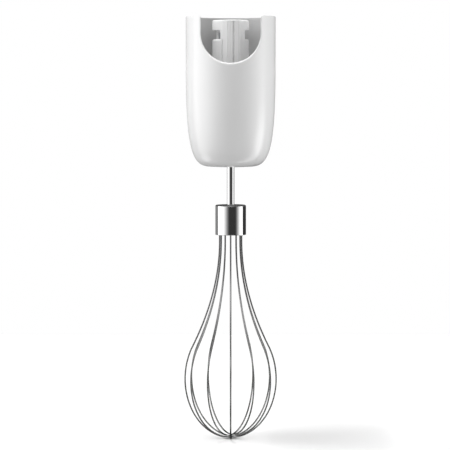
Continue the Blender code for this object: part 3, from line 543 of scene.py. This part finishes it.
def make_shell(surface, inner_shade_paint):
    """The casing as a grid: each chain of points goes once round the wall's section."""
    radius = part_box("outer_shell")[1].x
    bore = radius - SHELL_WALL
    outer_path, inner_path = edge_path(radius), edge_path(bore)
    outer_into, inner_into = into_wall(outer_path, radius), into_wall(inner_path, bore)
    outside, inside = shell_sections()
    count = len(outer_path)
    in_scoop = BOWL_STEPS + SIDE_STEPS + CORNER_STEPS
    bm = bmesh.new()
    chains = []
    for i in range(count):
        reach = RIM_EDGE + (SCOOP_EDGE - RIM_EDGE) * ease((in_scoop - min(i, count - i)) / CORNER_STEPS)
        turn = math.pi * i / (count / 2)
        if turn > math.pi:
            turn -= math.tau
        edge_out = on_cylinder(radius, *outer_path[i])
        edge_in = on_cylinder(bore, *inner_path[i])
        out_rows = wall_rows(radius, outer_path[i], outer_into[i], reach, turn)
        in_rows = wall_rows(bore, inner_path[i], inner_into[i], INNER_EDGE, turn)
        across = (edge_in - edge_out).normalized()
        cut_out = edge_out + across * min(reach, SHELL_WALL * CUT_EDGE_SHARE)
        cut_in = edge_in - across * INNER_EDGE
        chain = [on_cylinder(r, turn * r, z) for r, z in reversed(outside)]
        chain += reversed(out_rows[1:])
        chain += bezier([out_rows[0], edge_out, cut_out], FILLET_STEPS)
        inner_start = len(chain)
        chain += bezier([cut_in, edge_in, in_rows[0]], INNER_FILLET_STEPS)
        chain += in_rows[1:]
        chain += [on_cylinder(r, turn * r, z) for r, z in reversed(inside)]
        chains.append([bm.verts.new(p) for p in chain])
    for i, chain in enumerate(chains):
        following = chains[(i + 1) % count]
        for k in range(len(chain)):
            n = (k + 1) % len(chain)
            face = bm.faces.new((chain[k], following[k], following[n], chain[n]))
            # faces inside the wall take the darker material, which is painted shade
            face.material_index = int(k >= inner_start)
    shell = finish_mesh("casing", bm, surface)
    shell.data.materials.append(inner_shade_paint)
    place(shell, "housing", "white_gloss", "outer_shell")


# Coupling tower


def tower_tube(surface):
    """The tube with its flange, and the web across its bore."""
    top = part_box("coupling_tower")[1].z
    bore = TOWER_RADIUS - TOWER_WALL
    underside = FLANGE_TOP - FLANGE_THICKNESS
    centre = (TOWER_RADIUS - TOWER_EDGE, top - TOWER_EDGE)
    profile = [(bore, top - TOWER_BORE_EDGE), (bore + TOWER_BORE_EDGE, top)]
    profile += arc(TOWER_EDGE, math.pi / 2, 0, EDGE_STEPS, centre)
    profile += [(TOWER_RADIUS, FLANGE_TOP), (FLANGE_RADIUS, FLANGE_TOP)]
    profile += [(FLANGE_RADIUS, underside), (BUSH_SEAT, underside)]
    profile += [(BUSH_SEAT, WEB_TOP), (bore, WEB_TOP)]
    return turned("tower", profile, surface, TOWER_STEPS)


def rib_outline(flats, facing):
    """A rib's outline seen from above: its flats, the lines between them, and its root."""
    outline = []
    for k, (start, end) in enumerate(flats):
        if k:
            middle = (flats[k - 1][1] + start) / 2
            outline.append(polar(RIB_RADIUS - SEAM_DEPTH, facing + math.radians(middle)))
        outline += [polar(RIB_RADIUS, facing + math.radians(a)) for a in (start, end)]
    root = TOWER_RADIUS - RIB_ROOT
    return outline + [polar(root, facing + math.radians(a)) for a in (flats[-1][1], flats[0][0])]


def cut_groove(tower, start, end, floor, top):
    """Cuts a groove between two angles of the tower, in to the radius of its floor."""
    reach = TOWER_RADIUS + CUT
    outline = [polar(floor, start), polar(reach, start), polar(reach, end), polar(floor, end)]
    boolean(tower, plate("groove", [outline], FLANGE_TOP + GROOVE_RISE, top))


def cut_windows(tower):
    """Cuts the two windows, whose lower edges are rounded like the tower's top."""
    bore = TOWER_RADIUS - TOWER_WALL
    low, high = -WINDOW_TOP - WINDOW_HEIGHT, -WINDOW_TOP
    inner, outer = bore - CUT, TOWER_RADIUS + CUT
    centre = (TOWER_RADIUS - TOWER_EDGE, low - TOWER_EDGE)
    section = [(inner, low), *arc(TOWER_EDGE, math.pi / 2, 0, EDGE_STEPS, centre)[:-1]]
    section += [(outer, low - TOWER_EDGE), (outer, high), (inner, high)]
    for side in range(2):
        start = TOWER_TURN + side * math.pi - WINDOW_SPAN / 2
        boolean(tower, turned("window", section, None, WINDOW_STEPS, start=start, angle=WINDOW_SPAN))


def make_tower(surface):
    tower = tower_tube(surface)
    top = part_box("coupling_tower")[1].z
    rib_ends = FLANGE_TOP - RIB_SINK, top - TOWER_EDGE * RIB_FALL
    for side in range(2):
        facing = -math.pi / 2 + TOWER_TURN + side * math.pi
        for flats in RIBS:
            boolean(tower, plate("rib", [rib_outline(flats, facing)], *rib_ends), "UNION")
        groove = (facing + math.radians(a) for a in (RIBS[0][-1][1], RIBS[1][0][0]))
        cut_groove(tower, *groove, RIB_RADIUS - GROOVE_DEPTH, top - TOWER_EDGE)
        foot = facing + math.radians(RIBS[0][0][0])
        floor = TOWER_RADIUS - FOOT_LINE_DEPTH
        cut_groove(tower, foot - FOOT_LINE_WIDTH, foot, floor, -WINDOW_TOP - WINDOW_HEIGHT)
    cut_windows(tower)
    bevel(tower, TOWER_BEVEL)
    finish_cut(tower, surface, TOWER_SMOOTH_BELOW)
    place(tower, "housing", "white_satin", "coupling_tower")


# Whisk


def half_loop(level):
    """One half of a loop as (out, up) points, from its end in the holder to the tip."""
    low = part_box("ferrule")[0].z
    belly = low - BELLY_DROP
    join = (BELLY_RADIUS * math.cos(BELLY_JOIN), belly + BELLY_RISE * math.sin(BELLY_JOIN))
    slope = BELLY_RADIUS * math.sin(BELLY_JOIN) / (BELLY_RISE * math.cos(BELLY_JOIN))
    corner = (NECK_RADIUS, join[1] + (join[0] - NECK_RADIUS) / slope)
    points = [(NECK_RADIUS, low + WIRE_RISE)]
    points += bezier([(NECK_RADIUS, low - NECK_STRAIGHT), corner, join], NECK_STEPS)
    for i in range(1, BELLY_STEPS + 1):
        angle = BELLY_JOIN * (1 - i / BELLY_STEPS)
        points.append((BELLY_RADIUS * math.cos(angle), belly + BELLY_RISE * math.sin(angle)))
    depth = BELLY_DEPTH - level * CROSSING_PITCH
    for i in range(1, TIP_STEPS + 1):
        angle = math.pi / 2 * i / TIP_STEPS
        points.append((BELLY_RADIUS * math.cos(angle), belly - depth * math.sin(angle)))
    return points


def wire_section(out):
    """Half thickness and half width of a wire, which is flat within reach of the axis."""
    t = ease((abs(out) - CROSSING_FLAT) / CROSSING_BLEND)
    thickness = CROSSING_THICKNESS + (WIRE_DIAMETER - CROSSING_THICKNESS) * t
    width = CROSSING_WIDTH + (WIRE_DIAMETER - CROSSING_WIDTH) * t
    return thickness / 2, width / 2


def make_loop(number, level, angle, surface):
    """A wire loop, swept along its path in the upright plane at an angle."""
    half = half_loop(level)
    half[-1] = (0.0, half[-1][1])
    path = half + [(-out, up) for out, up in reversed(half[:-1])]
    turn_c, turn_s = math.cos(angle), math.sin(angle)
    bm = bmesh.new()
    rings = []
    for i, (out, up) in enumerate(path):
        before, after = path[max(i - 1, 0)], path[min(i + 1, len(path) - 1)]
        run, rise = after[0] - before[0], after[1] - before[1]
        length = math.hypot(run, rise)
        thick, wide = wire_section(out)
        ring = []
        for side in range(WIRE_SIDES):
            around = math.tau * side / WIRE_SIDES
            across = thick * math.cos(around)
            along = wide * math.sin(around)
            x = out - rise / length * across
            z = up + run / length * across
            ring.append(bm.verts.new((x * turn_c - along * turn_s, x * turn_s + along * turn_c, z)))
        rings.append(ring)
    for first, second in zip(rings, rings[1:]):
        for side in range(WIRE_SIDES):
            n = (side + 1) % WIRE_SIDES
            bm.faces.new((first[side], first[n], second[n], second[side]))
    bm.faces.new(rings[0])
    bm.faces.new(rings[-1])
    loop = finish_mesh(f"whisk_wire_{number}", bm, surface, WIRE_SMOOTH_BELOW)
    place(loop, "whisk", "wire_steel", f"wire_loop_{number}")


def make_ferrule(surface, dark_reflection_paint):
    """The polished cup, with a painted dark reflection on its top and lower edge."""
    low, high = (corner.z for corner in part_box("ferrule"))
    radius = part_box("ferrule")[1].x
    inner, hole = radius - FERRULE_WALL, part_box("whisk_shaft")[1].x + SHAFT_GAP
    profile = [(hole, high - FERRULE_BREAK), (hole + FERRULE_BREAK, high)]
    profile += [(hole + FERRULE_BREAK + FERRULE_BREAK_WIDTH, high)]
    profile += [(radius - FERRULE_EDGE - SUPPORT, high)]
    centre = (radius - FERRULE_EDGE, high - FERRULE_EDGE)
    profile += arc(FERRULE_EDGE, math.pi / 2, 0, FERRULE_EDGE_STEPS, centre)
    profile += [(radius, high - FERRULE_EDGE - SUPPORT)]
    profile += [(radius, high + (low - high) * t) for t in FERRULE_ROWS]
    profile += [(radius, low + FERRULE_LIP + SUPPORT)]
    centre = (radius - FERRULE_LIP, low + FERRULE_LIP)
    profile += arc(FERRULE_LIP, 0, -math.pi / 2, FERRULE_LIP_STEPS, centre)
    profile += [(inner + FERRULE_BREAK_WIDTH, low), (inner, low + FERRULE_BREAK)]
    profile += [(inner, high - FERRULE_WALL - FERRULE_SHOULDER)]
    profile += [(inner - FERRULE_SHOULDER, high - FERRULE_WALL), (hole, high - FERRULE_WALL)]
    cup = turned("ferrule_cup", profile, surface, FERRULE_STEPS)
    # the flat top and lower edge take the painted dark reflection
    cup.data.materials.append(dark_reflection_paint)
    for face in cup.data.polygons:
        face.material_index = int(abs(face.normal.z) > PAINTED_DARK_ABOVE)
    place(cup, "whisk", "chrome", "ferrule")


def make_holder(surface):
    """The plug, hollowed between the wires, with a hole round each wire."""
    low, high = (corner.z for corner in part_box("wire_holder"))
    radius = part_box("wire_holder")[1].x
    hollow = NECK_RADIUS - HOLDER_LAND
    profile = [(0, high), (radius, high), (radius, low + HOLDER_EDGE), (radius - HOLDER_EDGE, low)]
    profile += [(hollow, low), (hollow - HOLDER_SLOPE, low + HOLDER_DISH), (0, low + HOLDER_DISH)]
    holder = turned("wire_plug", profile, surface, on_axis=True)
    count = 2 * len(LOOP_ANGLES)
    for k in range(count):
        centre = polar(NECK_RADIUS, math.tau * k / count)
        outline = arc(HOLDER_DIMPLE, 0, math.tau, DIMPLE_STEPS, centre)[:-1]
        boolean(holder, plate("dimple", [outline], low - CUT, low + HOLDER_DISH))
    finish_cut(holder, surface)
    place(holder, "whisk", "grey_nylon", "wire_holder")


def make_shaft(surface):
    """The shaft, round up to its snap ring and a hexagon above."""
    low, high = (corner.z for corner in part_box("whisk_shaft"))
    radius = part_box("whisk_shaft")[1].x
    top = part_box("shaft_retainer")[1].z + SHAFT_ROUND
    side = [(radius, low + (top - low) * i / SHAFT_ROWS) for i in range(SHAFT_ROWS + 1)]
    shaft = turned("shaft", [(0, low), *side, (0, top)], surface, SHAFT_STEPS, on_axis=True)
    corners = arc(radius * HEXAGON_SHARE, 0, math.tau, 6)[:-1]
    boolean(shaft, plate("hexagon", [corners], top - HEXAGON_ROOT, high), "UNION")
    finish_cut(shaft, surface)
    place(shaft, "whisk", "chrome", "whisk_shaft")


# Stage


def make_camera():
    """A camera that looks at the axis and a little down."""
    data = bpy.data.cameras.new("camera")
    camera = in_scene(bpy.data.objects.new("camera", data))
    camera.location = (AIM_ASIDE, -CAMERA_DISTANCE, CAMERA_HEIGHT)
    sight = Vector((AIM_ASIDE, 0, AIM_HEIGHT)) - camera.location
    camera.rotation_euler = sight.to_track_quat("-Z", "Y").to_euler()
    data.lens = data.sensor_width * sight.length / PICTURE_WIDTH
    data.clip_end = CLIP_END
    bpy.context.scene.camera = camera


def make_floor():
    """A pale floor that shows white where no shadow falls on it."""
    spot = (0, 0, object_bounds()[0].z - FLOOR_GAP)
    bpy.ops.mesh.primitive_plane_add(size=FLOOR_SIZE, location=spot)
    floor = bpy.context.object
    floor.name = "floor"
    made, _, surface = shader("floor", (0.8, 0.8, 0.8), 0.9)
    surface.inputs["Specular IOR Level"].default_value = 0.1
    floor.data.materials.append(made)
    floor.visible_diffuse = False
    floor.visible_glossy = False
    floor.visible_shadow = False
    floor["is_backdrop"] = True


def operation(tree, kind, *values):
    """A math node's result from numbers and other nodes' outputs."""
    made = tree.nodes.new("ShaderNodeMath")
    made.operation = kind
    for socket, value in zip(made.inputs, values):
        if isinstance(value, (int, float)):
            socket.default_value = value
        else:
            tree.links.new(value, socket)
    return made.outputs[0]


def step(tree, value, middle, fade, rising):
    """A smooth step that is half way at middle, over a range as wide as fade."""
    made = tree.nodes.new("ShaderNodeMapRange")
    made.interpolation_type = "SMOOTHSTEP"
    made.inputs["From Min"].default_value = middle - fade / 2
    made.inputs["From Max"].default_value = middle + fade / 2
    made.inputs["To Min"].default_value = 0.0 if rising else 1.0
    made.inputs["To Max"].default_value = 1.0 if rising else 0.0
    tree.links.new(value, made.inputs["Value"])
    return made.outputs["Result"]


def softbox(tree, azimuth, elevation, across, upright, brightness):
    """One soft light's brightness in every direction."""
    left, right, left_fade, right_fade = across
    bottom, top, fade = upright
    width = operation(
        tree,
        "MULTIPLY",
        step(tree, azimuth, left, left_fade, True),
        step(tree, azimuth, right, right_fade, False),
    )
    height = operation(
        tree,
        "MULTIPLY",
        step(tree, elevation, bottom, fade, True),
        step(tree, elevation, top, fade, False),
    )
    return operation(tree, "MULTIPLY", operation(tree, "MULTIPLY", width, height), brightness)


def make_studio():
    """Soft lights in a dark room, which the camera sees as white."""
    world = bpy.data.worlds.new("studio")
    world.use_nodes = True
    tree = world.node_tree
    parts = tree.nodes.new("ShaderNodeSeparateXYZ")
    spot = tree.nodes.new("ShaderNodeTexCoord")
    tree.links.new(spot.outputs["Generated"], parts.inputs[0])
    east, north, up = (parts.outputs[axis] for axis in "XYZ")
    angle = operation(tree, "ARCTAN2", east, operation(tree, "MULTIPLY", north, -1.0))
    azimuth = operation(tree, "DEGREES", angle)
    elevation = operation(tree, "DEGREES", operation(tree, "ARCSINE", up))
    level = 0.0
    for across, upright, brightness in SOFTBOXES:
        box = softbox(tree, azimuth, elevation, across, upright, brightness)
        level = operation(tree, "ADD", level, box)
    seen = tree.nodes.new("ShaderNodeLightPath").outputs["Is Camera Ray"]
    level = operation(tree, "MAXIMUM", level, seen)
    tree.nodes["Background"].inputs["Color"].default_value = (1.0, 1.0, 1.0, 1.0)
    tree.links.new(level, tree.nodes["Background"].inputs["Strength"])
    bpy.context.scene.world = world


def make_lamp():
    """A long lamp high on the left, whose shadow lies on the floor to the right."""
    data = bpy.data.lights.new("lamp", "AREA")
    data.shape = "RECTANGLE"
    data.size = LAMP_LENGTH
    data.size_y = LAMP_WIDTH
    data.energy = LAMP_WATTS
    lamp = in_scene(bpy.data.objects.new("lamp", data))
    middle = Vector((0, 0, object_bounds()[0].z / 2))
    east, south = math.sin(LAMP_AZIMUTH), math.cos(LAMP_AZIMUTH)
    level, up = math.cos(LAMP_ELEVATION), math.sin(LAMP_ELEVATION)
    sight = Vector((level * east, -level * south, up)) * LAMP_DISTANCE
    lamp.location = middle + sight
    lamp.rotation_euler = (-sight).to_track_quat("-Z", "Y").to_euler()
    lamp.visible_glossy = False


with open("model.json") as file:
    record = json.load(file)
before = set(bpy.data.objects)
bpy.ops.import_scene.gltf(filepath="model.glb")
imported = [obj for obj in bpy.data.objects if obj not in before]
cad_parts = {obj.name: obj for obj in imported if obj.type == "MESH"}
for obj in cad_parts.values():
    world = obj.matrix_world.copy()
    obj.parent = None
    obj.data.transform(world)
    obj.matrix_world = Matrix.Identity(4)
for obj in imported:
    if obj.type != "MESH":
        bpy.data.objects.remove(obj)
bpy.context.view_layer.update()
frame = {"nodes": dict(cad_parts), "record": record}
make_camera()
look = make_materials()
for subpart in frame["record"]["subparts"]:
    for slot in frame["nodes"][subpart["node"]].material_slots:
        slot.material = look[subpart["material_slot"]]
make_shell(look["white_gloss"], look["inside_painted_shade"])
make_tower(look["white_satin"])
make_shaft(look["chrome"])
make_ferrule(look["chrome"], look["painted_dark_reflection"])
make_holder(look["grey_nylon"])
for level, angle in enumerate(LOOP_ANGLES):
    make_loop(level + 1, level, angle, look["wire_steel"])
make_floor()
make_studio()
make_lamp()
bpy.context.scene.view_settings.view_transform = "Standard"
